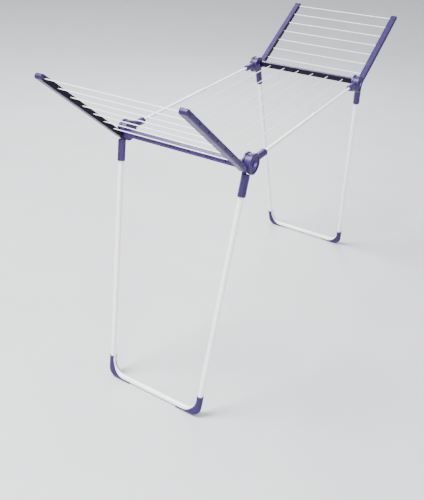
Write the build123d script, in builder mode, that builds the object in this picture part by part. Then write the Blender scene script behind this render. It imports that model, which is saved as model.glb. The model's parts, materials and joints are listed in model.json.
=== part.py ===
from build123d import *
from math import cos, hypot, radians, sin
import os

# Extendable clothes airer for a bathtub.  Millimetres, +Z up, X along the telescopic rails,
# Y across.  "near" is the -X end and "far" the +X end; "left" is +Y and "right" is -Y.
# Local side-view coordinates are (outboard of the hub axis, above the hub axis).
NEAR, FAR = -1, 1
LEFT, RIGHT = 1, -1
END_NAMES = {NEAR: "near", FAR: "far"}
SIDE_NAMES = {LEFT: "left", RIGHT: "right"}

# Overall layout
HUB_SPACING = 955.0
HUB_HEIGHT = 955.0
CENTRE_SHIFT = 24.85
RAIL_TRAVEL = 330.0
LEG_TILT = 12.7
WING_TILT = {NEAR: 41.0, FAR: 29.0}
LINE_R = 1.5
LINE_HOLE_R = 2.0

# Hub: two round cheeks with a slot between them, spans measured from the centre plane
CHEEK_R = 35.0
INNER_CHEEK = (228.0, 233.5)
OUTER_CHEEK = (250.5, 260.0)
SLOT = (233.5, 250.5)
SLOT_R = 34.9
LEG_LUG = (234.0, 242.2)
ARM_LUG = (242.8, 250.0)
LUG_R = 32.0
PIN_R = 4.0
PIN_SPAN = (228.0, 260.0)
RUNNING_GAP = 0.06

# Rails and their sockets
RAIL_Y = 244.0
RAIL_RISE = 4.0
SOCKET_R = 12.0
SOCKET_REACH = 96.0
SOCKET_BORE_DEPTH = 50.0
OUTER_RAIL_R, OUTER_RAIL_BORE_R = 6.5, 5.5
INNER_RAIL_R, INNER_RAIL_BORE_R = 5.0, 4.1
OUTER_RAIL_END = 25.0
RAIL_OVERLAP = 120.0
BUSH_R = 7.8
BUSH_LENGTH = 16.0
BUSH_LIP = 3.0

# Crossbars, in local side-view coordinates
CROSSBAR_HALF = 228.0
CROSSBAR_NEAR_FACE = 13.5
CROSSBAR_DEPTH = 23.0
CROSSBAR_LOW, CROSSBAR_HIGH = -9.0, 12.0
WALL = 2.2
SHELL_ROUND = 4.0
COVER = 2.0
GROOVE_WIDTH, GROOVE_DEPTH = 6.4, 1.2
CORE_HOLE_R = 2.3
LINE_RISE = 2.5
SCREW_R, SCREW_HEAD_R, SCREW_HEAD = 1.5, 2.9, 0.4
SCREW_SPAN = (217.0, 233.5)
SCREW_BOSS_R = 3.2
SCREW_BOSS = (216.0, 225.0)
DECK_LINE_PITCH = 70.0
DECK_LINE_COUNT = 6

# Winding shaft inside the far crossbar
SHAFT_R = 1.5
SHAFT_HALF, SHAFT_BORE_HALF = 227.0, 227.5
SPOOL_CORE_R, SPOOL_FLANGE_R = 2.2, 5.0
SPOOL_WIDTH, SPOOL_FLANGE = 46.0, 1.5
REEL_X = 23.5
REEL_RISE = LINE_RISE - LINE_R - SPOOL_CORE_R
SPRING_SPAN = (200.0, 224.0)

# Wing arms
ARM_SPAN = (229.0, 254.0)
ARM_START, ARM_CAP_START, ARM_TIP = 24.0, 452.0, 465.0
ARM_CLEAR_R = 37.0
ARM_DROP = 29.0
ARM_HEIGHT = 18.0
ARM_ROOT_END = 62.0
ARM_TONGUE, ARM_TONGUE_HEIGHT = (16.0, 48.0), 15.0
WING_LINE_FIRST, WING_LINE_PITCH, WING_LINE_COUNT = 88.0, 60.0, 7

# Legs
LEG_OFFSET = 21.5
LEG_TUBE_R, LEG_BORE_R = 10.0, 8.8
LEG_TOP_Y, LEG_BOTTOM_Y = 245.0, 201.0
LEG_TOP_DEPTH = 22.0
BEND_R = 58.0
SLEEVE_TOP, SLEEVE_ROOF, SLEEVE_END = 31.5, 49.0, 106.0
SLEEVE_CLEAR_R = 36.2
SLEEVE_R = 13.0
SLEEVE_ROUND = 3.0
LEG_TONGUE = (18.0, 28.0)
CAP_R = 13.2
CAP_BEND_R = 25.0
CAP_WRAP_R, CAP_TAPER = 12.8, 1.0
CAP_FLAT = 0.8
CAP_ON_LEG, CAP_ON_BOTTOM = 78.0, 92.0
CAP_CUT = (80.1, 66.5)
CAP_CUT_R = 76.0
KNOT_R, KNOT_LENGTH, KNOT_ROUND = 2.9, 2.6, 1.2


def hub_x(end):
    """X of a hub axis."""
    return end * HUB_SPACING / 2 - CENTRE_SHIFT


def side_plane(end, y, tilt=0.0):
    """Side-view plane at y: local x runs outboard, local y runs up, both turned by tilt."""
    turn = radians(tilt)
    return Plane(
        origin=(hub_x(end), y, HUB_HEIGHT),
        x_dir=(end * cos(turn), 0, sin(turn)),
        z_dir=(0, -end, 0),
    )


def mid(span):
    return (span[0] + span[1]) / 2


def half(span):
    return (span[1] - span[0]) / 2


def line_positions():
    """Y of each lengthwise line."""
    first = -DECK_LINE_PITCH * (DECK_LINE_COUNT - 1) / 2
    return [first + DECK_LINE_PITCH * i for i in range(DECK_LINE_COUNT)]


def wing_stations():
    """Distance of each crosswise line from the hub, along the arm, tip first."""
    return [WING_LINE_FIRST + WING_LINE_PITCH * i for i in reversed(range(WING_LINE_COUNT))]


def rims(builder, side):
    """Circular edges of the piece under construction, outermost last."""
    edges = builder.edges().filter_by(GeomType.CIRCLE).sort_by(Axis.Y)
    return edges if side == LEFT else edges[::-1]


def write(piece, name):
    piece.part.label = name
    export_step(piece.part, f"parts/{name}.step")


def rail_plane(end, side, distance):
    """Plane across a rail, at a distance inboard of the hub, facing inboard."""
    origin = (hub_x(end) - end * distance, side * RAIL_Y, HUB_HEIGHT + RAIL_RISE)
    return Plane(origin=origin, x_dir=(0, 1, 0), z_dir=(-end, 0, 0))


def rail_head(end, side):
    """Clevis of two round cheeks with the rail's socket growing out of it inboard."""
    dish_depth, dish_rim, dish_boss = 2.0, 28.5, 11.0
    inner_round, outer_round, mouth_round = 0.6, 3.0, 4.5
    with BuildPart() as head:
        with BuildSketch(side_plane(end, side * mid(OUTER_CHEEK))):
            Circle(CHEEK_R)
        extrude(amount=half(OUTER_CHEEK), both=True)
        fillet(rims(head, side)[0], inner_round)
        fillet(rims(head, side)[-1], outer_round)
        with BuildSketch(side_plane(end, side * (OUTER_CHEEK[1] - dish_depth / 2))):
            Circle(dish_rim)
            Circle(dish_boss, mode=Mode.SUBTRACT)
        extrude(amount=dish_depth / 2, both=True, mode=Mode.SUBTRACT)
        with BuildSketch(side_plane(end, side * mid(INNER_CHEEK))):
            Circle(CHEEK_R)
        extrude(amount=half(INNER_CHEEK), both=True)
        with BuildSketch(rail_plane(end, side, CHEEK_R - SOCKET_R)):
            Circle(SOCKET_R)
        extrude(amount=SOCKET_REACH - CHEEK_R + SOCKET_R)
        mouth = head.edges().filter_by(GeomType.CIRCLE).sort_by(Axis.X)[0 if end == FAR else -1]
        fillet(mouth, mouth_round)
        with BuildSketch(side_plane(end, side * mid(SLOT))):
            Circle(SLOT_R)
        extrude(amount=half(SLOT), both=True, mode=Mode.SUBTRACT)
        with BuildSketch(rail_plane(end, side, SOCKET_REACH - SOCKET_BORE_DEPTH)):
            Circle(OUTER_RAIL_R if end == NEAR else INNER_RAIL_R)
        extrude(amount=SOCKET_BORE_DEPTH, mode=Mode.SUBTRACT)
        with BuildSketch(side_plane(end, side * mid(PIN_SPAN))):
            Circle(PIN_R)
        extrude(amount=half(PIN_SPAN), both=True, mode=Mode.SUBTRACT)
        with BuildSketch(side_plane(end, side * mid(INNER_CHEEK))):
            with Locations(*screw_spots()):
                Circle(SCREW_R)
        extrude(amount=half(INNER_CHEEK), both=True, mode=Mode.SUBTRACT)
    write(head, f"{END_NAMES[end]}_{SIDE_NAMES[side]}_rail_head")


def screw_spots():
    """Where the two screws of each crossbar end stand, in side-view coordinates."""
    screw_drop, near_inset, far_inset = 5.0, 5.0, 6.0
    screw_height = CROSSBAR_HIGH - screw_drop
    first = CROSSBAR_NEAR_FACE + near_inset
    second = CROSSBAR_NEAR_FACE + CROSSBAR_DEPTH - far_inset
    return [(first, screw_height), (second, screw_height)]


def crossbar_screws(end):
    """Screws through the inner cheeks into the crossbar's ends."""
    with BuildPart() as screws:
        for side in (LEFT, RIGHT):
            with BuildSketch(side_plane(end, side * mid(SCREW_SPAN))):
                with Locations(*screw_spots()):
                    Circle(SCREW_R)
            extrude(amount=half(SCREW_SPAN), both=True)
            cap = (SCREW_SPAN[1], SCREW_SPAN[1] + SCREW_HEAD)
            with BuildSketch(side_plane(end, side * mid(cap))):
                with Locations(*screw_spots()):
                    Circle(SCREW_HEAD_R)
            extrude(amount=half(cap), both=True)
    write(screws, f"{END_NAMES[end]}_crossbar_screws")


def hub_pins(end):
    """Pivot pins of one end, each with a domed head on the outer cheek."""
    head_r, head_height, head_round, tail = 7.0, 3.5, 2.6, 2.5
    with BuildPart() as pins:
        for side in (LEFT, RIGHT):
            shank = (PIN_SPAN[0] - tail, PIN_SPAN[1])
            with BuildSketch(side_plane(end, side * mid(shank))):
                Circle(PIN_R)
            extrude(amount=half(shank), both=True)
            cap = (PIN_SPAN[1], PIN_SPAN[1] + head_height)
            with BuildSketch(side_plane(end, side * mid(cap))):
                Circle(head_r)
            extrude(amount=half(cap), both=True)
            fillet(rims(pins, side)[-1], head_round)
    write(pins, f"{END_NAMES[end]}_hub_pins")


def crossbar(end):
    """Channel-shaped top bar, open inboard, with a grooved outer face."""
    shell = (CROSSBAR_NEAR_FACE + COVER, CROSSBAR_NEAR_FACE + CROSSBAR_DEPTH)
    cavity = (shell[0], shell[1] - WALL)
    height = CROSSBAR_HIGH - CROSSBAR_LOW
    middle = (CROSSBAR_HIGH + CROSSBAR_LOW) / 2
    end_wall, groove_inset = 3.0, 12.0
    with BuildPart() as bar:
        with BuildSketch(side_plane(end, 0)) as section:
            with Locations((mid(shell), middle)):
                Rectangle(2 * half(shell), height)
            fillet(section.vertices().group_by(Axis.X)[-1], SHELL_ROUND)
        extrude(amount=CROSSBAR_HALF, both=True)
        with BuildSketch(side_plane(end, 0)):
            with Locations((mid(cavity), middle)):
                Rectangle(2 * half(cavity), height - 2 * WALL)
        extrude(amount=CROSSBAR_HALF - end_wall, both=True, mode=Mode.SUBTRACT)
        with BuildSketch(side_plane(end, 0)):
            with Locations((shell[1] - GROOVE_DEPTH / 2, LINE_RISE)):
                Rectangle(GROOVE_DEPTH, GROOVE_WIDTH)
        extrude(amount=CROSSBAR_HALF - groove_inset, both=True, mode=Mode.SUBTRACT)
        for side in (LEFT, RIGHT):
            with BuildSketch(side_plane(end, side * mid(SCREW_BOSS))):
                with Locations(*screw_spots()):
                    Circle(SCREW_BOSS_R)
            extrude(amount=half(SCREW_BOSS), both=True)
            with BuildSketch(side_plane(end, side * mid(SCREW_SPAN))):
                with Locations(*screw_spots()):
                    Circle(SCREW_R)
            extrude(amount=half(SCREW_SPAN), both=True, mode=Mode.SUBTRACT)
        with BuildSketch(line_plane(end, shell[1])):
            with Locations(*[(y, 0) for y in line_positions()]):
                Circle(CORE_HOLE_R)
        extrude(amount=-2 * WALL, mode=Mode.SUBTRACT)
        if end == FAR:
            with BuildSketch(side_plane(end, 0)):
                with Locations((REEL_X, REEL_RISE)):
                    Circle(SHAFT_R + RUNNING_GAP)
            extrude(amount=SHAFT_BORE_HALF, both=True, mode=Mode.SUBTRACT)
    write(bar, f"{END_NAMES[end]}_crossbar")


def line_plane(end, outboard):
    """Plane across the lengthwise lines, at a distance outboard of the hub."""
    origin = (hub_x(end) + end * outboard, 0, HUB_HEIGHT + LINE_RISE)
    return Plane(origin=origin, x_dir=(0, 1, 0), z_dir=(end, 0, 0))


def crossbar_cover(end):
    """Dark strip that closes the channel, with an eyelet for each line and two locating ribs."""
    height = CROSSBAR_HIGH - CROSSBAR_LOW
    middle = (CROSSBAR_HIGH + CROSSBAR_LOW) / 2
    rib, rib_depth, rib_inset, rib_end = 1.4, 2.5, 0.1, 14.0
    rib_offset = height / 2 - WALL - rib_inset - rib / 2
    with BuildPart() as cover:
        with BuildSketch(side_plane(end, 0)):
            with Locations((CROSSBAR_NEAR_FACE + COVER / 2, middle)):
                Rectangle(COVER, height)
        extrude(amount=CROSSBAR_HALF, both=True)
        with BuildSketch(side_plane(end, 0)):
            for shift in (-rib_offset, rib_offset):
                with Locations((CROSSBAR_NEAR_FACE + COVER + rib_depth / 2, middle + shift)):
                    Rectangle(rib_depth, rib)
        extrude(amount=CROSSBAR_HALF - rib_end, both=True)
        with BuildSketch(line_plane(end, CROSSBAR_NEAR_FACE)):
            with Locations(*[(y, 0) for y in line_positions()]):
                Circle(LINE_HOLE_R)
        extrude(amount=COVER, mode=Mode.SUBTRACT)
    write(cover, f"{END_NAMES[end]}_crossbar_cover")


def reel():
    """Winding shaft with one spool for each lengthwise line, and its torsion spring."""
    with BuildPart() as shaft:
        with BuildSketch(side_plane(FAR, 0)):
            with Locations((REEL_X, REEL_RISE)):
                Circle(SHAFT_R)
        extrude(amount=SHAFT_HALF, both=True)
    write(shaft, "reel_shaft")
    with BuildPart() as spools:
        for y in line_positions():
            with BuildSketch(side_plane(FAR, y)):
                with Locations((REEL_X, REEL_RISE)):
                    Circle(SPOOL_CORE_R)
            extrude(amount=SPOOL_WIDTH / 2, both=True)
            for flange_y in (y - SPOOL_WIDTH / 2, y + SPOOL_WIDTH / 2):
                with BuildSketch(side_plane(FAR, flange_y)):
                    with Locations((REEL_X, REEL_RISE)):
                        Circle(SPOOL_FLANGE_R)
                extrude(amount=SPOOL_FLANGE / 2, both=True)
        with BuildSketch(side_plane(FAR, 0)):
            with Locations((REEL_X, REEL_RISE)):
                Circle(SHAFT_R)
        extrude(amount=CROSSBAR_HALF, both=True, mode=Mode.SUBTRACT)
    write(spools, "reel_spools")
    coil_pitch, wire_r, coil_r = 2.0, 0.6, 3.6
    turns = int((SPRING_SPAN[1] - SPRING_SPAN[0]) / coil_pitch)
    with BuildPart() as spring:
        with BuildSketch(side_plane(FAR, RIGHT * mid(SPRING_SPAN))):
            with Locations((REEL_X, REEL_RISE)):
                Circle(coil_r)
                Circle(coil_r - wire_r, mode=Mode.SUBTRACT)
        extrude(amount=half(SPRING_SPAN), both=True)
        for i in range(turns):
            ridge_y = RIGHT * (SPRING_SPAN[0] + coil_pitch * (i + 0.5))
            with BuildSketch(side_plane(FAR, ridge_y)):
                with Locations((REEL_X, REEL_RISE)):
                    Circle(coil_r + wire_r)
                    Circle(coil_r - wire_r, mode=Mode.SUBTRACT)
            extrude(amount=wire_r, both=True)
    write(spring, "reel_spring")


def rails(side):
    """Outer tube from the near hub, inner tube from the far hub."""
    start = SOCKET_REACH - SOCKET_BORE_DEPTH
    outer_length = OUTER_RAIL_END - CENTRE_SHIFT - (hub_x(NEAR) + start)
    with BuildPart() as outer:
        with BuildSketch(rail_plane(NEAR, side, start)):
            Circle(OUTER_RAIL_R)
            Circle(OUTER_RAIL_BORE_R, mode=Mode.SUBTRACT)
        extrude(amount=outer_length)
    write(outer, f"{SIDE_NAMES[side]}_outer_rail")
    inner_length = hub_x(FAR) - start - (OUTER_RAIL_END - CENTRE_SHIFT - RAIL_OVERLAP)
    with BuildPart() as inner:
        with BuildSketch(rail_plane(FAR, side, start)):
            Circle(INNER_RAIL_R)
            Circle(INNER_RAIL_BORE_R, mode=Mode.SUBTRACT)
        extrude(amount=inner_length)
    write(inner, f"{SIDE_NAMES[side]}_inner_rail")


def rail_bushes():
    """Collars on the ends of the outer tubes, in which the inner tubes slide."""
    rail_end = OUTER_RAIL_END - CENTRE_SHIFT
    distance = rail_end - hub_x(NEAR)
    with BuildPart() as bushes:
        for side in (LEFT, RIGHT):
            with BuildSketch(rail_plane(NEAR, side, distance - BUSH_LENGTH + BUSH_LIP)):
                Circle(BUSH_R)
            extrude(amount=BUSH_LENGTH)
        fillet(bushes.edges().filter_by(GeomType.CIRCLE), 0.7)
        for side in (LEFT, RIGHT):
            with BuildSketch(rail_plane(NEAR, side, distance - BUSH_LENGTH + BUSH_LIP)):
                Circle(OUTER_RAIL_R)
            extrude(amount=BUSH_LENGTH - BUSH_LIP, mode=Mode.SUBTRACT)
            with BuildSketch(rail_plane(NEAR, side, distance)):
                Circle(INNER_RAIL_R + RUNNING_GAP)
            extrude(amount=BUSH_LIP, mode=Mode.SUBTRACT)
    write(bushes, "rail_bushes")


def deck_lines():
    """Lengthwise lines, from knots behind the near crossbar's cover to the spools."""
    near_out = CROSSBAR_NEAR_FACE + COVER
    length = HUB_SPACING + near_out + REEL_X
    for number, y in enumerate(reversed(line_positions()), start=1):
        with BuildPart() as line:
            with BuildSketch(line_plane(NEAR, near_out)):
                with Locations((y, 0)):
                    Circle(LINE_R)
            extrude(amount=-length)
        write(line, f"deck_line_{number}")
    print(f"deck lines {length:.1f} mm")
    with BuildPart() as knots:
        with BuildSketch(line_plane(NEAR, near_out)):
            with Locations(*[(y, 0) for y in line_positions()]):
                Circle(KNOT_R)
        extrude(amount=KNOT_LENGTH)
        fillet(knots.edges().filter_by(GeomType.CIRCLE).group_by(Axis.X)[0], KNOT_ROUND)
    write(knots, "deck_line_knots")


def arm_plane(end, distance):
    """Plane across a wing's arms, at a distance from the hub: local x is end * Y, local y up."""
    turn = radians(WING_TILT[end])
    along = Vector(end * cos(turn), 0, sin(turn))
    origin = Vector(hub_x(end), 0, HUB_HEIGHT) + along * distance
    return Plane(origin=origin, x_dir=(0, end, 0), z_dir=along)


def arm(end, side):
    """Channel-shaped wing arm, open inwards, with a flat lug that turns on the hub pin."""
    flip = end * side
    shell = (ARM_SPAN[0] + COVER, ARM_SPAN[1])
    tilt = WING_TILT[end]
    with BuildPart() as body:
        with BuildSketch(arm_plane(end, ARM_START)) as section:
            with Locations((flip * mid(shell), -ARM_DROP)):
                Rectangle(2 * half(shell), ARM_HEIGHT)
            fillet(section.vertices().group_by(Axis.X)[-1 if flip > 0 else 0], SHELL_ROUND)
        extrude(amount=ARM_CAP_START - ARM_START)
        with BuildSketch(side_plane(end, side * mid(ARM_SPAN), tilt)):
            Circle(ARM_CLEAR_R)
        extrude(amount=2 * half(ARM_SPAN), both=True, mode=Mode.SUBTRACT)
        cavity = (shell[0], shell[1] - WALL)
        with BuildSketch(arm_plane(end, ARM_ROOT_END)):
            with Locations((flip * mid(cavity), -ARM_DROP)):
                Rectangle(2 * half(cavity), ARM_HEIGHT - 2 * WALL)
        extrude(amount=ARM_CAP_START - ARM_ROOT_END, mode=Mode.SUBTRACT)
        with BuildSketch(arm_plane(end, ARM_ROOT_END)):
            with Locations((flip * (shell[1] - GROOVE_DEPTH / 2), -ARM_DROP)):
                Rectangle(GROOVE_DEPTH, GROOVE_WIDTH)
        extrude(amount=ARM_CAP_START - ARM_ROOT_END, mode=Mode.SUBTRACT)
        with BuildSketch(side_plane(end, side * (shell[1] - WALL), tilt)):
            with Locations(*[(x, -ARM_DROP) for x in wing_stations()]):
                Circle(CORE_HOLE_R)
        extrude(amount=2 * WALL, both=True, mode=Mode.SUBTRACT)
        with BuildSketch(side_plane(end, side * mid(ARM_LUG), tilt)):
            Circle(LUG_R)
            with Locations((mid(ARM_TONGUE), -ARM_DROP)):
                Rectangle(2 * half(ARM_TONGUE), ARM_TONGUE_HEIGHT)
        extrude(amount=half(ARM_LUG), both=True)
        with BuildSketch(side_plane(end, side * mid(ARM_LUG), tilt)):
            Circle(PIN_R + RUNNING_GAP)
        extrude(amount=half(ARM_LUG), both=True, mode=Mode.SUBTRACT)
    write(body, f"{END_NAMES[end]}_{SIDE_NAMES[side]}_arm")


def arm_trims(end):
    """Dark covers, light end caps and line knots of one wing."""
    tilt = WING_TILT[end]
    cover = (ARM_SPAN[0], ARM_SPAN[0] + COVER)
    tip_round, cap_round = 8.0, 2.5
    with BuildPart() as covers:
        for side in (LEFT, RIGHT):
            with BuildSketch(side_plane(end, side * mid(cover), tilt)):
                with Locations(((ARM_START + ARM_CAP_START) / 2, -ARM_DROP)):
                    Rectangle(ARM_CAP_START - ARM_START, ARM_HEIGHT)
                Circle(ARM_CLEAR_R, mode=Mode.SUBTRACT)
                with Locations(*[(x, -ARM_DROP) for x in wing_stations()]):
                    Circle(LINE_HOLE_R, mode=Mode.SUBTRACT)
            extrude(amount=half(cover), both=True)
    write(covers, f"{END_NAMES[end]}_arm_covers")
    with BuildPart() as caps:
        for side in (LEFT, RIGHT):
            with BuildSketch(side_plane(end, side * mid(ARM_SPAN), tilt)) as outline:
                with Locations(((ARM_CAP_START + ARM_TIP) / 2, -ARM_DROP)):
                    Rectangle(ARM_TIP - ARM_CAP_START, ARM_HEIGHT)
                fillet(outline.vertices().group_by(Axis.X)[-1], tip_round)
            extrude(amount=half(ARM_SPAN), both=True)
        for edge_group in (0, -1):
            outlines = caps.edges().filter_by(GeomType.CIRCLE).group_by(Axis.Y)
            fillet(outlines[edge_group], cap_round)
    write(caps, f"{END_NAMES[end]}_arm_end_caps")
    knot = (ARM_SPAN[0] + COVER, ARM_SPAN[0] + COVER + KNOT_LENGTH)
    with BuildPart() as knots:
        for side in (LEFT, RIGHT):
            with BuildSketch(side_plane(end, side * mid(knot), tilt)):
                with Locations(*[(x, -ARM_DROP) for x in wing_stations()]):
                    Circle(KNOT_R)
            extrude(amount=half(knot), both=True)
        for edge_group in (0, -1):
            outlines = knots.edges().filter_by(GeomType.CIRCLE).group_by(Axis.Y)
            fillet(outlines[edge_group], KNOT_ROUND)
    write(knots, f"{END_NAMES[end]}_wing_knots")


def wing_lines(end):
    """Crosswise lines of one wing, tip line first."""
    for number, x in enumerate(wing_stations(), start=1):
        with BuildPart() as line:
            with BuildSketch(side_plane(end, 0, WING_TILT[end])):
                with Locations((x, -ARM_DROP)):
                    Circle(LINE_R)
            extrude(amount=ARM_SPAN[0] + COVER, both=True)
        write(line, f"{END_NAMES[end]}_wing_line_{number}")
    print(f"{END_NAMES[end]} wing lines {2 * (ARM_SPAN[0] + COVER):.1f} mm")


def leg_axes(end):
    """Outboard and up directions of a leg frame."""
    turn = radians(LEG_TILT)
    return Vector(end * cos(turn), 0, sin(turn)), Vector(-end * sin(turn), 0, cos(turn))


def leg_depth():
    """Distance from the hub down to the centre line of the bottom tube."""
    turn = radians(LEG_TILT)
    return (HUB_HEIGHT + LEG_OFFSET * sin(turn) - CAP_R + CAP_FLAT) / cos(turn)


def leg_slope():
    return (LEG_TOP_Y - LEG_BOTTOM_Y) / (leg_depth() - LEG_TOP_DEPTH)


def leg_y(depth):
    """Distance of a leg's centre line from the centre plane, at a depth below the hub."""
    return LEG_TOP_Y - leg_slope() * (depth - LEG_TOP_DEPTH)


def leg_plane(end):
    """Plane of a leg frame: local x is Y, local y is up the leg, origin level with the hub."""
    out, up = leg_axes(end)
    origin = Vector(hub_x(end), 0, HUB_HEIGHT) + out * LEG_OFFSET
    return Plane(origin=origin, x_dir=(0, 1, 0), z_dir=Vector(0, 1, 0).cross(up))


def leg_frame(end):
    """Steel tube bent to a U that narrows downwards."""
    depth = leg_depth()
    top = (leg_y(SLEEVE_ROOF), -SLEEVE_ROOF)
    corner = (LEG_BOTTOM_Y, -depth)
    with BuildPart() as frame:
        with BuildLine(leg_plane(end)) as path:
            FilletPolyline(top, corner, (-corner[0], corner[1]), (-top[0], top[1]), radius=BEND_R)
        with BuildSketch(Plane(origin=path.line @ 0, z_dir=path.line % 0)):
            Circle(LEG_TUBE_R)
            Circle(LEG_BORE_R, mode=Mode.SUBTRACT)
        sweep()
    write(frame, f"{END_NAMES[end]}_leg_frame")


def corner_bar(end, side, overrun, bend_r, bar_r):
    """Round bar along a lower corner of a leg frame, longer than a foot cap by overrun."""
    depth = leg_depth()
    on_leg, on_bottom = CAP_ON_LEG + overrun, CAP_ON_BOTTOM + overrun
    leg_point = (side * leg_y(depth - on_leg), -depth + on_leg)
    corner = (side * LEG_BOTTOM_Y, -depth)
    bottom_point = (side * (LEG_BOTTOM_Y - on_bottom), -depth)
    with BuildPart() as bar:
        with BuildLine(leg_plane(end)) as path:
            FilletPolyline(leg_point, corner, bottom_point, radius=bend_r)
        with BuildSketch(Plane(origin=path.line @ 0, z_dir=path.line % 0)):
            Circle(bar_r)
        sweep()
    return bar.part


def foot_caps(end):
    """Wedges that square off the lower bends on their outer side, flat underneath."""
    depth = leg_depth()
    with BuildPart() as caps:
        for side in (LEFT, RIGHT):
            add(corner_bar(end, side, 0, CAP_BEND_R, CAP_R))
            add(corner_bar(end, side, -CAP_TAPER, BEND_R, CAP_WRAP_R))
            add(corner_bar(end, side, CAP_R, BEND_R, LEG_TUBE_R), mode=Mode.SUBTRACT)
            with BuildSketch(leg_plane(end)):
                with Locations((side * (LEG_BOTTOM_Y - CAP_CUT[0]), -depth + CAP_CUT[1])):
                    Circle(CAP_CUT_R)
            extrude(amount=2 * CAP_R, both=True, mode=Mode.SUBTRACT)
        with BuildSketch(Plane.XY):
            Rectangle(4 * HUB_SPACING, 2 * HUB_SPACING)
        extrude(amount=-2 * CAP_R, mode=Mode.SUBTRACT)
    write(caps, f"{END_NAMES[end]}_foot_caps")


def leg_socket(end, side):
    """Eight-sided sleeve on top of a leg, with a flat lug that turns on the hub pin."""
    out, up = leg_axes(end)
    slope = leg_slope()
    down = (Vector(0, -side * slope, 0) - up).normalized()
    stretch = hypot(1, slope)
    hub = Vector(hub_x(end), 0, HUB_HEIGHT)
    top = hub + out * LEG_OFFSET - up * SLEEVE_TOP + Vector(0, side * leg_y(SLEEVE_TOP), 0)
    roof = hub + out * LEG_OFFSET - up * SLEEVE_ROOF + Vector(0, side * leg_y(SLEEVE_ROOF), 0)
    with BuildPart() as socket:
        with BuildSketch(Plane(origin=top, x_dir=out, z_dir=down)) as section:
            RegularPolygon(radius=SLEEVE_R, side_count=8, major_radius=False, rotation=22.5)
            fillet(section.vertices(), SLEEVE_ROUND)
        extrude(amount=(SLEEVE_END - SLEEVE_TOP) * stretch)
        with BuildSketch(side_plane(end, side * LEG_TOP_Y)):
            Circle(SLEEVE_CLEAR_R)
        extrude(amount=2 * SLEEVE_R, both=True, mode=Mode.SUBTRACT)
        with BuildSketch(side_plane(end, side * mid(LEG_LUG), LEG_TILT)):
            Circle(LUG_R)
            with Locations((LEG_OFFSET, -SLEEVE_TOP)):
                Rectangle(*LEG_TONGUE)
        extrude(amount=half(LEG_LUG), both=True)
        with BuildSketch(Plane(origin=roof, x_dir=out, z_dir=down)):
            Circle(LEG_TUBE_R)
        extrude(amount=SLEEVE_END, mode=Mode.SUBTRACT)
        with BuildSketch(side_plane(end, side * mid(LEG_LUG), LEG_TILT)):
            Circle(PIN_R + RUNNING_GAP)
        extrude(amount=half(LEG_LUG), both=True, mode=Mode.SUBTRACT)
    write(socket, f"{END_NAMES[end]}_{SIDE_NAMES[side]}_leg_socket")


os.makedirs("parts", exist_ok=True)
for end in (NEAR, FAR):
    crossbar(end)
    crossbar_cover(end)
    crossbar_screws(end)
    hub_pins(end)
    leg_frame(end)
    foot_caps(end)
    arm_trims(end)
    wing_lines(end)
    for side in (LEFT, RIGHT):
        rail_head(end, side)
        leg_socket(end, side)
        arm(end, side)
for side in (LEFT, RIGHT):
    rails(side)
rail_bushes()
reel()
deck_lines()
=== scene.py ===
import bpy
import bmesh
import json
import math
from mathutils import Matrix, Vector


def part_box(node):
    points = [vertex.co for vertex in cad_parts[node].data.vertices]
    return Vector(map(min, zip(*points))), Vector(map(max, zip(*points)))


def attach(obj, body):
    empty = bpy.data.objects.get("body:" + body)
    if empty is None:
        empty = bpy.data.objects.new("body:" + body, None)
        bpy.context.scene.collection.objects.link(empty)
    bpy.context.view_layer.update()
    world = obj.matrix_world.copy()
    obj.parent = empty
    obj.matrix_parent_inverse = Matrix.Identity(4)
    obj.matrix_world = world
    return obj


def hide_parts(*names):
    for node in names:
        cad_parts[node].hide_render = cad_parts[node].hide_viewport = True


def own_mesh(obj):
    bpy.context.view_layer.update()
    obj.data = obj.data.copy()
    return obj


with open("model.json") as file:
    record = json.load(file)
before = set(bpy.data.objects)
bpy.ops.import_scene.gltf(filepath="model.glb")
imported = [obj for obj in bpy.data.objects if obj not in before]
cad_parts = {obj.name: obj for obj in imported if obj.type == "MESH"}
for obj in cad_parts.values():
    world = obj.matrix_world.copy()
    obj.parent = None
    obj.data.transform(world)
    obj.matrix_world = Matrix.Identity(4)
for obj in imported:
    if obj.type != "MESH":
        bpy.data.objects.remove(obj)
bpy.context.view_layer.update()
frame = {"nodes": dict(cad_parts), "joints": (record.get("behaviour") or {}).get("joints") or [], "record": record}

NODES = frame["nodes"]
JOINTS = {joint["name"]: joint for joint in frame["joints"]}
ENDS = {"near": -1, "far": 1}
SIDES = {"left": 1, "right": -1}
HUB = {
    "near": Vector(JOINTS["near_leg_fold"]["pos_m"]),
    "far": Vector(JOINTS["far_leg_fold"]["pos_m"]),
}
WING_ANGLE = {"near": math.radians(41.0), "far": math.radians(29.0)}
LEG_TILT = math.radians(12.7)

# Camera, lights and floor

VIEW_AZIMUTH, VIEW_DROP, VIEW_ROLL = math.radians(59.57), math.radians(33.44), math.radians(1.5)
VIEW_PLACE = (-2.0229, -1.0165, 1.751)
VIEW_SHIFT = -0.0058
LENS_MM, SENSOR_MM = 42.83, 36
VIEW_DEPTH = 60
LIGHT_TARGET = (0, 0, 0.8)
SKY_COLOR, SKY_STRENGTH = (0.93, 0.95, 1.0, 1), 0.85
FLOOR_SIZE, FLOOR_DROP = 40, 0.0005

# Lines

LINE_D = 0.003
LINE_RISE = 0.0025
DECK_LINE_Y = [0.07 * (k - 2.5) for k in range(6)]
WING_STATIONS = [0.088 + 0.06 * k for k in range(7)]
CONTROL_POINTS = 4

# Surfaces that carry moulded detail, in metres from a hub: outboard, across and up

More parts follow.
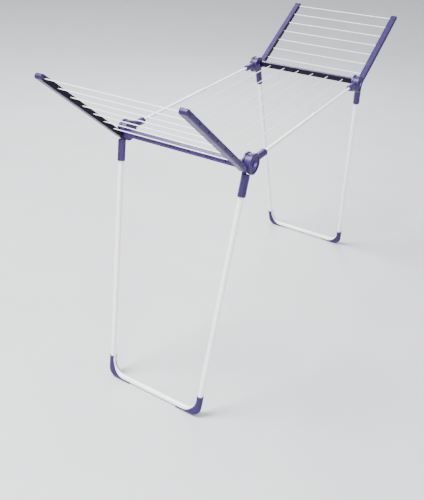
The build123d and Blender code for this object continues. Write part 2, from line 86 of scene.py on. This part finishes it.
CHEEK_FACE, DISH_FLOOR = 0.260, 0.258
SOCKET_Y, SOCKET_RISE, SOCKET_R = 0.244, 0.004, 0.012
COVER_FACE_X, CROSSBAR_FACE_X = 0.0135, 0.0365
ARM_INNER, ARM_OUTER, ARM_DROP = 0.229, 0.254, -0.029
GROOVE_DEPTH = 0.0012
LEG_OFFSET, LEG_DEPTH = 0.0215, 0.9711
LEG_TOP_Y, LEG_LEAN, LEG_TOP_DEPTH = 0.245, 0.0464, 0.022
SLEEVE_R, CAP_R = 0.013, 0.0132

# Moulded detail: a bead is (inner radius, outer radius, height), a rib is (width, height)

BEAD_ROOT, RIB_ROOT = 0.0004, 0.0003
ARC_STEPS = 6
FINE, MEDIUM, COARSE = 64, 40, 24
RIM_BEAD = (0.0287, 0.0312, 0.0007)
DISH_BEAD = (0.0252, 0.0266, 0.0006)
PIN_BEAD = (0.0078, 0.0094, 0.0006)
EYELET_BEAD = (0.0020, 0.0034, 0.0007)
CORE_HOLE_BEAD = (0.0023, 0.0031, 0.0006)
CHEEK_RIBS, CHEEK_RIB, CHEEK_RIB_SPAN = 10, (0.0013, 0.0009), (0.0115, 0.0250)
SOCKET_RIBS, SOCKET_RIB, SOCKET_RIB_SPAN = 8, (0.0016, 0.0008), (0.041, 0.083)
SOCKET_RIB_ROOT, SOCKET_BURIED_Y = 0.0002, 0.2345
MOUTH_BEADS, MOUTH_BEAD_HALF, MOUTH_CREST_HALF = (0.0860, 0.0895), 0.0010, 0.0006
MOUTH_BEAD_ROOT, MOUTH_BEAD_HEIGHT = 0.0003, 0.0005
LONG_RIB_STEPS = 60
CROSSBAR_RIB, CROSSBAR_RIB_RISES, CROSSBAR_RIB_END = (0.0014, 0.0006), (-0.0030, 0.0080), 0.222
ARM_RIB, ARM_RIB_SHIFTS, ARM_RIB_SPAN = (0.0013, 0.0006), (-0.0052, 0.0052), (0.060, 0.449)
GRIP_RIB, GRIP_STATIONS, GRIP_HALF = (0.0012, 0.0005), (0.0, 0.003, 0.006), 0.0045
GRIP_START = 0.455
BUTTON_DEPTH, BUTTON_DOME, BUTTON_BEAD = 0.074, (0.0038, 0.0016), (0.0043, 0.0056, 0.0006)
BUTTON_SEGMENTS = 28
FLUTE, FLUTE_SHIFTS, FLUTE_SPAN = (0.0013, 0.0006), (-0.0034, 0.0034), (0.084, 0.102)
FOOT_RIB_LIFTS = (0.038, 0.046, 0.054, 0.062)
FOOT_RIB_TURNS = [math.radians(12.0 * k) for k in range(-4, 5)]
FOOT_RIB_HEIGHT, FOOT_RIB_HALF, FOOT_RIB_CREST = 0.0009, 0.0010, 0.4
FOOT_RIB_FADE = 1.55


# Camera, lights and floor

def make_camera():
    """Looks from the near right, from above the rails."""
    look = Vector((
        math.sin(VIEW_AZIMUTH) * math.cos(VIEW_DROP),
        math.cos(VIEW_AZIMUTH) * math.cos(VIEW_DROP),
        -math.sin(VIEW_DROP),
    ))
    level = Vector((math.cos(VIEW_AZIMUTH), -math.sin(VIEW_AZIMUTH), 0))
    up = level.cross(look)
    right = level * math.cos(VIEW_ROLL) + up * math.sin(VIEW_ROLL)
    up = up * math.cos(VIEW_ROLL) - level * math.sin(VIEW_ROLL)
    data = bpy.data.cameras.new("camera")
    data.lens = LENS_MM
    data.sensor_width = SENSOR_MM
    data.shift_x = VIEW_SHIFT
    data.clip_end = VIEW_DEPTH
    camera = bpy.data.objects.new("camera", data)
    bpy.context.scene.collection.objects.link(camera)
    turn = Matrix((right, up, -look)).transposed().to_4x4()
    camera.matrix_world = Matrix.Translation(VIEW_PLACE) @ turn
    bpy.context.scene.camera = camera


def area_light(name, place, size, power, tint=(1, 1, 1)):
    data = bpy.data.lights.new(name, "AREA")
    data.shape = "DISK"
    data.size = size
    data.energy = power
    data.color = tint
    lamp = bpy.data.objects.new(name, data)
    bpy.context.scene.collection.objects.link(lamp)
    lamp.location = place
    lamp.rotation_mode = "QUATERNION"
    aim = Vector(LIGHT_TARGET) - Vector(place)
    lamp.rotation_quaternion = aim.to_track_quat("-Z", "Y")


def make_lights():
    area_light("key", place=(-1.8, 2.4, 6.5), size=2.5, power=1350)
    area_light("fill", place=(-3.4, -1.6, 1.5), size=1.8, power=120, tint=(0.97, 0.98, 1.0))
    area_light("rim", place=(2.8, 1.6, 2.4), size=1.4, power=70)
    world = bpy.data.worlds.new("world")
    world.use_nodes = True
    sky = world.node_tree.nodes["Background"]
    sky.inputs["Color"].default_value = SKY_COLOR
    sky.inputs["Strength"].default_value = SKY_STRENGTH
    bpy.context.scene.world = world


def make_floor():
    bpy.ops.mesh.primitive_plane_add(size=FLOOR_SIZE, location=(0, 0, -FLOOR_DROP))
    floor = bpy.context.object
    floor.name = "floor"
    floor.data.materials.append(floor_finish("floor_look"))


# Procedural materials

class Look:
    """A node material under construction: the Principled shader and helpers to feed it."""

    def __init__(self, name, color, roughness, specular=0.5):
        self.material = bpy.data.materials.new(name)
        self.material.use_nodes = True
        self.material.diffuse_color = (*color, 1)
        self.tree = self.material.node_tree
        self.shader = self.tree.nodes["Principled BSDF"]
        self.shader.inputs["Base Color"].default_value = (*color, 1)
        self.shader.inputs["Roughness"].default_value = roughness
        self.shader.inputs["Specular IOR Level"].default_value = specular
        self.place = self.tree.nodes.new("ShaderNodeTexCoord").outputs["Object"]
        self.normal = None

    def link(self, output, target):
        self.tree.links.new(output, target)

    def node(self, kind, **settings):
        made = self.tree.nodes.new(kind)
        for key, value in settings.items():
            setattr(made, key, value)
        return made

    def noise(self, scale, detail=3.0, roughness=0.5, stretch=(1, 1, 1)):
        mapping = self.node("ShaderNodeMapping")
        mapping.inputs["Scale"].default_value = stretch
        self.link(self.place, mapping.inputs["Vector"])
        made = self.node("ShaderNodeTexNoise")
        made.inputs["Scale"].default_value = scale
        made.inputs["Detail"].default_value = detail
        made.inputs["Roughness"].default_value = roughness
        self.link(mapping.outputs["Vector"], made.inputs["Vector"])
        return made.outputs["Fac"]

    def cells(self, scale, smoothness=0.6):
        made = self.node("ShaderNodeTexVoronoi", feature="SMOOTH_F1")
        made.inputs["Scale"].default_value = scale
        made.inputs["Smoothness"].default_value = smoothness
        self.link(self.place, made.inputs["Vector"])
        return made.outputs["Distance"]

    def ramp(self, value, low, high, dark, light):
        made = self.node("ShaderNodeValToRGB")
        made.color_ramp.elements[0].position = low
        made.color_ramp.elements[0].color = (*dark, 1)
        made.color_ramp.elements[1].position = high
        made.color_ramp.elements[1].color = (*light, 1)
        self.link(value, made.inputs["Fac"])
        return made.outputs["Color"]

    def spread(self, value, low, high, source=(0.3, 0.7)):
        made = self.node("ShaderNodeMapRange")
        made.inputs["From Min"].default_value = source[0]
        made.inputs["From Max"].default_value = source[1]
        made.inputs["To Min"].default_value = low
        made.inputs["To Max"].default_value = high
        self.link(value, made.inputs["Value"])
        return made.outputs["Result"]

    def blend(self, share, first, second):
        """Mixes two colours. A Mix node has its colour sockets after those of other types."""
        made = self.node("ShaderNodeMix", data_type="RGBA")
        factor, first_color, second_color, mixed_color = 0, 6, 7, 2
        self.link(share, made.inputs[factor])
        self.link(first, made.inputs[first_color])
        self.link(second, made.inputs[second_color])
        return made.outputs[mixed_color]

    def color(self, output):
        self.link(output, self.shader.inputs["Base Color"])

    def roughness(self, output):
        self.link(output, self.shader.inputs["Roughness"])

    def bump(self, height, strength, distance):
        """Adds a layer of relief on top of the layers already there."""
        made = self.node("ShaderNodeBump")
        made.inputs["Strength"].default_value = strength
        made.inputs["Distance"].default_value = distance
        self.link(height, made.inputs["Height"])
        if self.normal is not None:
            self.link(self.normal, made.inputs["Normal"])
        self.normal = made.outputs["Normal"]
        self.link(self.normal, self.shader.inputs["Normal"])

    def edges(self, radius, low, high):
        """1 along worn edges, 0 on flats, broken up by noise."""
        bevel = self.node("ShaderNodeBevel", samples=4)
        bevel.inputs["Radius"].default_value = radius
        geometry = self.node("ShaderNodeNewGeometry")
        dot = self.node("ShaderNodeVectorMath", operation="DOT_PRODUCT")
        self.link(bevel.outputs["Normal"], dot.inputs[0])
        self.link(geometry.outputs["Normal"], dot.inputs[1])
        worn = self.spread(dot.outputs["Value"], 1.0, 0.0, (low, high))
        broken = self.spread(self.noise(90, 4), 0.0, 1.0, (0.35, 0.6))
        product = self.node("ShaderNodeMath", operation="MULTIPLY", use_clamp=True)
        self.link(worn, product.inputs[0])
        self.link(broken, product.inputs[1])
        return product.outputs[0]


def scaled(color, factor):
    return tuple(min(1.0, channel * factor) for channel in color)


def moulded(name, color, roughness=0.4, grain=0.12, wear=1.5, specular=0.32):
    """Injection-moulded plastic: faint flow mottling, spark-eroded grain, paler rubbed edges."""
    look = Look(name, color, roughness, specular)
    mottle = look.ramp(look.noise(16, 4), 0.3, 0.72, scaled(color, 0.86), scaled(color, 1.12))
    worn = look.node("ShaderNodeRGB")
    worn.outputs[0].default_value = (*scaled(color, wear), 1)
    look.color(look.blend(look.edges(0.0012, 0.72, 0.98), mottle, worn.outputs[0]))
    look.roughness(look.spread(look.noise(45, 5, 0.65), roughness - 0.09, roughness + 0.12))
    look.bump(look.noise(260, 2), 0.10, 0.0004)
    look.bump(look.noise(3200, 2, 0.6), grain, 0.00012)
    return look.material


def powder_coat(name, color):
    """White powder coating: orange peel, soft gloss, a little dust."""
    look = Look(name, color, 0.3)
    look.shader.inputs["Coat Weight"].default_value = 0.35
    look.shader.inputs["Coat Roughness"].default_value = 0.12
    look.color(look.ramp(look.noise(22, 5), 0.28, 0.7, scaled(color, 0.93), color))
    look.roughness(look.spread(look.noise(60, 4), 0.24, 0.4))
    look.bump(look.cells(620), 0.12, 0.00025)
    look.bump(look.noise(1500, 2), 0.06, 0.0001)
    return look.material


def sheathed_cord(name, color):
    """Smooth plastic sheath over a stranded core that shows through as faint ridges."""
    look = Look(name, color, 0.34)
    look.shader.inputs["Coat Weight"].default_value = 0.2
    look.color(look.ramp(look.noise(70, 4), 0.3, 0.7, scaled(color, 0.9), color))
    look.roughness(look.spread(look.noise(140, 3), 0.26, 0.44))
    look.bump(look.noise(900, 2, 0.5, (0.25, 0.25, 1)), 0.2, 0.0002)
    return look.material


def plated_steel(name, color):
    """Zinc plating: brushed along one way, unevenly dulled."""
    look = Look(name, color, 0.32)
    look.shader.inputs["Metallic"].default_value = 1.0
    look.color(look.ramp(look.noise(120, 5), 0.3, 0.7, scaled(color, 0.8), scaled(color, 1.1)))
    look.roughness(look.spread(look.noise(400, 3), 0.22, 0.42))
    look.bump(look.noise(1800, 2, 0.5, (1, 0.1, 1)), 0.15, 0.0001)
    return look.material


def soft_rubber(name, color):
    """Grippy soft plastic: matt, scuffed and a little dusty."""
    look = Look(name, color, 0.6, 0.3)
    look.shader.inputs["Sheen Weight"].default_value = 0.03
    scuff = look.ramp(look.noise(55, 6, 0.7), 0.35, 0.75, scaled(color, 0.85), scaled(color, 1.18))
    look.color(scuff)
    look.roughness(look.spread(look.noise(80, 5), 0.5, 0.72))
    look.bump(look.noise(2400, 2), 0.22, 0.00015)
    return look.material


def floor_finish(name):
    """Plain pale floor with a slight unevenness."""
    look = Look(name, (0.55, 0.56, 0.575), 0.5)
    look.color(look.ramp(look.noise(3, 4), 0.3, 0.7, (0.535, 0.545, 0.56), (0.565, 0.572, 0.585)))
    look.roughness(look.spread(look.noise(9, 4), 0.42, 0.58))
    look.bump(look.noise(140, 3), 0.04, 0.0008)
    return look.material


VIOLET = (0.023, 0.010, 0.080)
LOOKS = {
    "violet_plastic": moulded("violet_plastic_look", VIOLET),
    "coated_tube": powder_coat("coated_tube_look", (0.95, 0.95, 0.96)),
    # dark_strip: near-black cover over each channel's open side. Its near-black is partly the cover's own colour
    # and partly painted shade for the shadowed inside of the channel.
    "dark_strip": moulded("near_black_insert_painted_shade_look", (0.004, 0.0025, 0.012), 0.6, 0.2, 2.0, 0.14),
    "end_caps": moulded("end_caps_look", scaled(VIOLET, 0.85), 0.38),
    "foot_caps": soft_rubber("foot_caps_look", VIOLET),
    "line_cord": sheathed_cord("line_cord_look", (0.86, 0.87, 0.9)),
    "zinc_steel": plated_steel("zinc_steel_look", (0.62, 0.63, 0.66)),
    "pin_plastic": moulded("pin_plastic_look", scaled(VIOLET, 6.5), 0.24),
    "white_plastic": moulded("white_plastic_look", (0.8, 0.8, 0.82), 0.4, 0.1, 1.05),
}


def dress_cad_nodes():
    """Gives every CAD node the look of its slot."""
    for part in frame["record"]["subparts"]:
        for place in NODES[part["node"]].material_slots:
            place.material = LOOKS[part["material_slot"]]


# Shared mesh helpers

def hub_frame(end, tilt=0.0):
    """Side-view frame at a hub: local x outboard, y across, z up, turned up by tilt."""
    facing = ENDS[end]
    return Matrix((
        (facing * math.cos(tilt), 0, -facing * math.sin(tilt), HUB[end].x),
        (0, 1, 0, 0),
        (math.sin(tilt), 0, math.cos(tilt), HUB[end].z),
        (0, 0, 0, 1),
    ))


def add_piece(name, mesh, body, slot_name):
    """Puts a mesh in the scene as a piece that rides on a body."""
    piece = bpy.data.objects.new(name, mesh)
    bpy.context.scene.collection.objects.link(piece)
    if not piece.data.materials:
        piece.data.materials.append(LOOKS[slot_name])
    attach(piece, body)
    return piece


def finish_mesh(bm, name, place):
    """Merges doubled points, moves a bmesh from a hub's frame by place and makes it a smooth mesh."""
    bmesh.ops.remove_doubles(bm, verts=bm.verts, dist=0.00001)
    bm.transform(place)
    bmesh.ops.recalc_face_normals(bm, faces=bm.faces)
    for face in bm.faces:
        face.smooth = True
    mesh = bpy.data.meshes.new(name)
    bm.to_mesh(mesh)
    bm.free()
    return mesh


def skin(bm, rings):
    """Quads between successive closed rings of vertices."""
    count = len(rings[0])
    for first, second in zip(rings, rings[1:]):
        for k in range(count):
            corners = (first[k], first[(k + 1) % count], second[(k + 1) % count], second[k])
            if len(set(corners)) == 4:
                bm.faces.new(corners)


def lathe(bm, centre, profile, axis, segments):
    """Turns a closed (radius, height) profile round an axis through centre."""
    axis = Vector(axis).normalized()
    first = axis.orthogonal().normalized()
    second = axis.cross(first)
    rings = []
    for k in range(segments):
        turn = 2 * math.pi * k / segments
        spoke = first * math.cos(turn) + second * math.sin(turn)
        ring = [bm.verts.new(Vector(centre) + spoke * r + axis * h) for r, h in profile]
        rings.append(ring)
    skin(bm, rings + rings[:1])


def ring_profile(inner, outer, height):
    """Rounded bead between two radii, rooted a little below the surface."""
    middle = (inner + outer) / 2
    half = (outer - inner) / 2
    arc = [math.pi * k / ARC_STEPS for k in range(ARC_STEPS + 1)]
    bead = [(middle + half * math.cos(t), height * math.sin(t)) for t in arc]
    return [(outer, -BEAD_ROOT)] + bead + [(inner, -BEAD_ROOT)]


def dome_profile(radius, height):
    """Low dome rooted a little below the surface, with a pinhole instead of a pole."""
    pinhole = 0.00002
    arc = [math.pi / 2 * k / ARC_STEPS for k in range(ARC_STEPS + 1)]
    dome = [(radius * math.cos(t), height * math.sin(t)) for t in arc]
    return [(pinhole, -BEAD_ROOT), (radius, -BEAD_ROOT)] + dome


def rib(bm, start, end, out, width, height, steps=10, sides=8):
    """Half-round raised rib from start to end, fading out at both ends."""
    start, end, out = Vector(start), Vector(end), Vector(out).normalized()
    across = (end - start).cross(out).normalized()
    rings = []
    for k in range(steps + 1):
        share = k / steps
        fade = min(1.0, 4.0 * min(share, 1 - share) + 0.05) ** 0.5
        centre = start.lerp(end, share)
        ring = [bm.verts.new(centre - across * width / 2 * fade - out * RIB_ROOT)]
        for j in range(sides + 1):
            t = math.pi * j / sides
            lift = out * height * fade * math.sin(t)
            ring.append(bm.verts.new(centre - across * width / 2 * fade * math.cos(t) + lift))
        ring.append(bm.verts.new(centre + across * width / 2 * fade - out * RIB_ROOT))
        rings.append(ring)
    skin(bm, rings)
    bm.faces.new(rings[0])
    bm.faces.new(list(reversed(rings[-1])))


# Lines

def route_curve(name, start, end):
    """One straight NURBS spline from start to end, its control points evenly spaced."""
    data = bpy.data.curves.new(name, "CURVE")
    data.dimensions = "3D"
    data.resolution_u = 8
    spline = data.splines.new("NURBS")
    spline.points.add(CONTROL_POINTS - 1)
    for number, point in enumerate(spline.points):
        point.co = (*start.lerp(end, number / (CONTROL_POINTS - 1)), 1)
    spline.order_u = 3
    spline.use_endpoint_u = True
    curve = bpy.data.objects.new(name, data)
    bpy.context.scene.collection.objects.link(curve)
    return curve


def round_off(curve):
    """Gives a route the thickness of a line."""
    curve.data.bevel_depth = LINE_D / 2
    curve.data.bevel_resolution = 5
    curve.data.use_fill_caps = True


def wing_line(end, number):
    """A crosswise line, as a curve, between the two arms of a wing."""
    node = f"{end}_wing_line_{number}"
    low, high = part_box(node)
    middle = (low + high) / 2
    start = Vector((middle.x, low.y, middle.z))
    finish = Vector((middle.x, high.y, middle.z))
    curve = route_curve(f"{end}_wing_cord_{number}", start, finish)
    round_off(curve)
    curve.data.materials.append(LOOKS["line_cord"])
    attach(curve, f"{end}_wing")
    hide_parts(node)


def deck_line(number):
    """A lengthwise line, as a mesh, because it shortens as the rails slide together."""
    node = f"deck_line_{number}"
    low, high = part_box(node)
    middle = (low + high) / 2
    start = Vector((low.x, middle.y, middle.z))
    finish = Vector((high.x, middle.y, middle.z))
    curve = route_curve(f"deck_cord_route_{number}", start, finish)
    bpy.context.view_layer.update()
    graph = bpy.context.evaluated_depsgraph_get()
    bare = bpy.data.meshes.new_from_object(curve.evaluated_get(graph))
    bpy.data.meshes.remove(bare)
    round_off(curve)
    bpy.context.view_layer.update()
    graph = bpy.context.evaluated_depsgraph_get()
    tube = bpy.data.meshes.new_from_object(curve.evaluated_get(graph))
    bpy.data.objects.remove(curve)
    tube.materials.clear()
    piece = add_piece(f"deck_cord_{number}", tube, "near_deck", "line_cord")
    for polygon in piece.data.polygons:
        polygon.use_smooth = True
    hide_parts(node)
    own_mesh(piece)


# Moulded detail on the hubs, arms, legs and crossbars

def add_detail(bm, name, body, slot_name, tilt=0.0):
    """Closes one end's detail, drawn in its hub's frame, as a piece of the given body."""
    end = body.split("_")[0]
    mesh = finish_mesh(bm, name, hub_frame(end, tilt))
    add_piece(name, mesh, body, slot_name)


def hub_trim(end, side):
    """Rim bead, radial stiffening ribs and a collar round the pin, on the outer cheek."""
    facing = SIDES[side]
    out = (0, facing, 0)
    cheek = (0, facing * CHEEK_FACE, 0)
    dish = (0, facing * DISH_FLOOR, 0)
    inner, outer = CHEEK_RIB_SPAN
    bm = bmesh.new()
    lathe(bm, cheek, ring_profile(*RIM_BEAD), out, FINE)
    lathe(bm, dish, ring_profile(*DISH_BEAD), out, FINE)
    lathe(bm, cheek, ring_profile(*PIN_BEAD), out, MEDIUM)
    for k in range(CHEEK_RIBS):
        turn = 2 * math.pi * (k + 0.5) / CHEEK_RIBS
        spoke = Vector((math.cos(turn), 0, math.sin(turn)))
        rib(bm, Vector(dish) + spoke * inner, Vector(dish) + spoke * outer, out, *CHEEK_RIB)
    add_detail(bm, f"{end}_{side}_hub_trim", f"{end}_deck", "violet_plastic")


def socket_trim(end, side):
    """Stiffening ribs along the rail's socket, and the beads round its mouth."""
    facing = SIDES[side]
    root, crest = SOCKET_R - MOUTH_BEAD_ROOT, SOCKET_R + MOUTH_BEAD_HEIGHT
    bead = [(root, MOUTH_BEAD_HALF), (crest, MOUTH_CREST_HALF)]
    bead += [(crest, -MOUTH_CREST_HALF), (root, -MOUTH_BEAD_HALF)]
    start, finish = (Vector((distance, 0, 0)) for distance in SOCKET_RIB_SPAN)
    bm = bmesh.new()
    for k in range(SOCKET_RIBS):
        turn = 2 * math.pi * (k + 0.5) / SOCKET_RIBS
        spoke = Vector((0, math.cos(turn), math.sin(turn)))
        foot = Vector((0, facing * SOCKET_Y, SOCKET_RISE)) + spoke * (SOCKET_R - SOCKET_RIB_ROOT)
        if abs(foot.y) < SOCKET_BURIED_Y:
            continue
        rib(bm, foot - start, foot - finish, spoke, *SOCKET_RIB)
    for distance in MOUTH_BEADS:
        lathe(bm, (-distance, facing * SOCKET_Y, SOCKET_RISE), bead, (1, 0, 0), MEDIUM)
    add_detail(bm, f"{end}_{side}_socket_trim", f"{end}_deck", "violet_plastic")


def crossbar_eyelets(end):
    """Near-black beads round the line entries on the crossbar's near-black cover; the near-black is partly painted
    shade for the channel's shadowed inside.
    """
    bm = bmesh.new()
    for across in DECK_LINE_Y:
        entry = (COVER_FACE_X, across, LINE_RISE)
        lathe(bm, entry, ring_profile(*EYELET_BEAD), (-1, 0, 0), COARSE)
    add_detail(bm, f"{end}_crossbar_eyelets", f"{end}_deck", "dark_strip")


def crossbar_beads(end):
    """Two raised beads along the outer face, above and below the row of core holes."""
    out = (1, 0, 0)
    bm = bmesh.new()
    for rise in CROSSBAR_RIB_RISES:
        start = (CROSSBAR_FACE_X, -CROSSBAR_RIB_END, rise)
        finish = (CROSSBAR_FACE_X, CROSSBAR_RIB_END, rise)
        rib(bm, start, finish, out, *CROSSBAR_RIB, LONG_RIB_STEPS)
    for across in DECK_LINE_Y:
        core_hole = (CROSSBAR_FACE_X - GROOVE_DEPTH, across, LINE_RISE)
        lathe(bm, core_hole, ring_profile(*CORE_HOLE_BEAD), out, COARSE)
    add_detail(bm, f"{end}_crossbar_beads", f"{end}_deck", "violet_plastic")


def arm_beads(end, side):
    """Beads along an arm's outer face and round its core holes, and grip ribs at the tip."""
    facing = SIDES[side]
    out = Vector((0, facing, 0))
    face, groove = facing * ARM_OUTER, facing * (ARM_OUTER - GROOVE_DEPTH)
    root, tip = ARM_RIB_SPAN
    bm = bmesh.new()
    for shift in ARM_RIB_SHIFTS:
        rise = ARM_DROP + shift
        rib(bm, (root, face, rise), (tip, face, rise), out, *ARM_RIB, LONG_RIB_STEPS)
    for station in WING_STATIONS:
        lathe(bm, (station, groove, ARM_DROP), ring_profile(*CORE_HOLE_BEAD), out, COARSE)
    for shift in GRIP_STATIONS:
        station = GRIP_START + shift
        low, high = ARM_DROP - GRIP_HALF, ARM_DROP + GRIP_HALF
        rib(bm, (station, face, low), (station, face, high), out, *GRIP_RIB)
    add_detail(bm, f"{end}_{side}_arm_beads", f"{end}_wing", "violet_plastic", WING_ANGLE[end])


def arm_eyelets(end):
    """Near-black beads round the line entries on the near-black covers of both arms; the near-black is partly
    painted shade for the channels' shadowed insides.
    """
    bm = bmesh.new()
    for facing in SIDES.values():
        for station in WING_STATIONS:
            entry = (station, facing * ARM_INNER, ARM_DROP)
            lathe(bm, entry, ring_profile(*EYELET_BEAD), (0, -facing, 0), COARSE)
    add_detail(bm, f"{end}_arm_eyelets", f"{end}_wing", "dark_strip", WING_ANGLE[end])


def leg_point(side, depth):
    """Centre of a leg at a depth below the hub, in the leg frame's own directions."""
    across = LEG_TOP_Y - LEG_LEAN * (depth - LEG_TOP_DEPTH)
    return Vector((LEG_OFFSET, SIDES[side] * across, -depth))


def sleeve_trim(end, side):
    """Snap button and flutes on a leg's sleeve."""
    button = leg_point(side, BUTTON_DEPTH) + Vector((SLEEVE_R, 0, 0))
    top, bottom = FLUTE_SPAN
    bm = bmesh.new()
    lathe(bm, button, dome_profile(*BUTTON_DOME), (1, 0, 0), BUTTON_SEGMENTS)
    lathe(bm, button, ring_profile(*BUTTON_BEAD), (1, 0, 0), BUTTON_SEGMENTS)
    for out in (Vector((1, 0, 0)), Vector((0, SIDES[side], 0))):
        beside = Vector((out.y, out.x, 0))
        for shift in FLUTE_SHIFTS:
            offset = out * SLEEVE_R + beside * shift
            rib(bm, leg_point(side, top) + offset, leg_point(side, bottom) + offset, out, *FLUTE)
    add_detail(bm, f"{end}_{side}_sleeve_trim", f"{end}_legs", "violet_plastic", LEG_TILT)


def foot_trim(end, side):
    """Grip ribs round the outer side of a foot cap, above its corner."""
    out = Vector((0, SIDES[side], 0))
    half_width = Vector((0, 0, FOOT_RIB_HALF))
    crest_half = half_width * FOOT_RIB_CREST
    bm = bmesh.new()
    for lift in FOOT_RIB_LIFTS:
        centre = leg_point(side, LEG_DEPTH - lift)
        rings = []
        for turn in FOOT_RIB_TURNS:
            spoke = out * math.cos(turn) + Vector((1, 0, 0)) * math.sin(turn)
            fade = math.cos(FOOT_RIB_FADE * turn / FOOT_RIB_TURNS[-1])
            foot = centre + spoke * (CAP_R - BEAD_ROOT)
            crest = centre + spoke * (CAP_R + FOOT_RIB_HEIGHT * fade)
            ring = [foot - half_width, crest - crest_half, crest + crest_half, foot + half_width]
            rings.append([bm.verts.new(point) for point in ring])
        skin(bm, rings)
        bm.faces.new(rings[0])
        bm.faces.new(list(reversed(rings[-1])))
    add_detail(bm, f"{end}_{side}_foot_trim", f"{end}_legs", "foot_caps", LEG_TILT)


# Making: the camera and the lines first

make_camera()
for end_name in ENDS:
    for line_number in range(1, len(WING_STATIONS) + 1):
        wing_line(end_name, line_number)
for line_number in range(1, len(DECK_LINE_Y) + 1):
    deck_line(line_number)
make_lights()
dress_cad_nodes()
for end_name in ENDS:
    crossbar_eyelets(end_name)
    crossbar_beads(end_name)
    arm_eyelets(end_name)
    for side_name in SIDES:
        hub_trim(end_name, side_name)
        socket_trim(end_name, side_name)
        arm_beads(end_name, side_name)
        sleeve_trim(end_name, side_name)
        foot_trim(end_name, side_name)
make_floor()
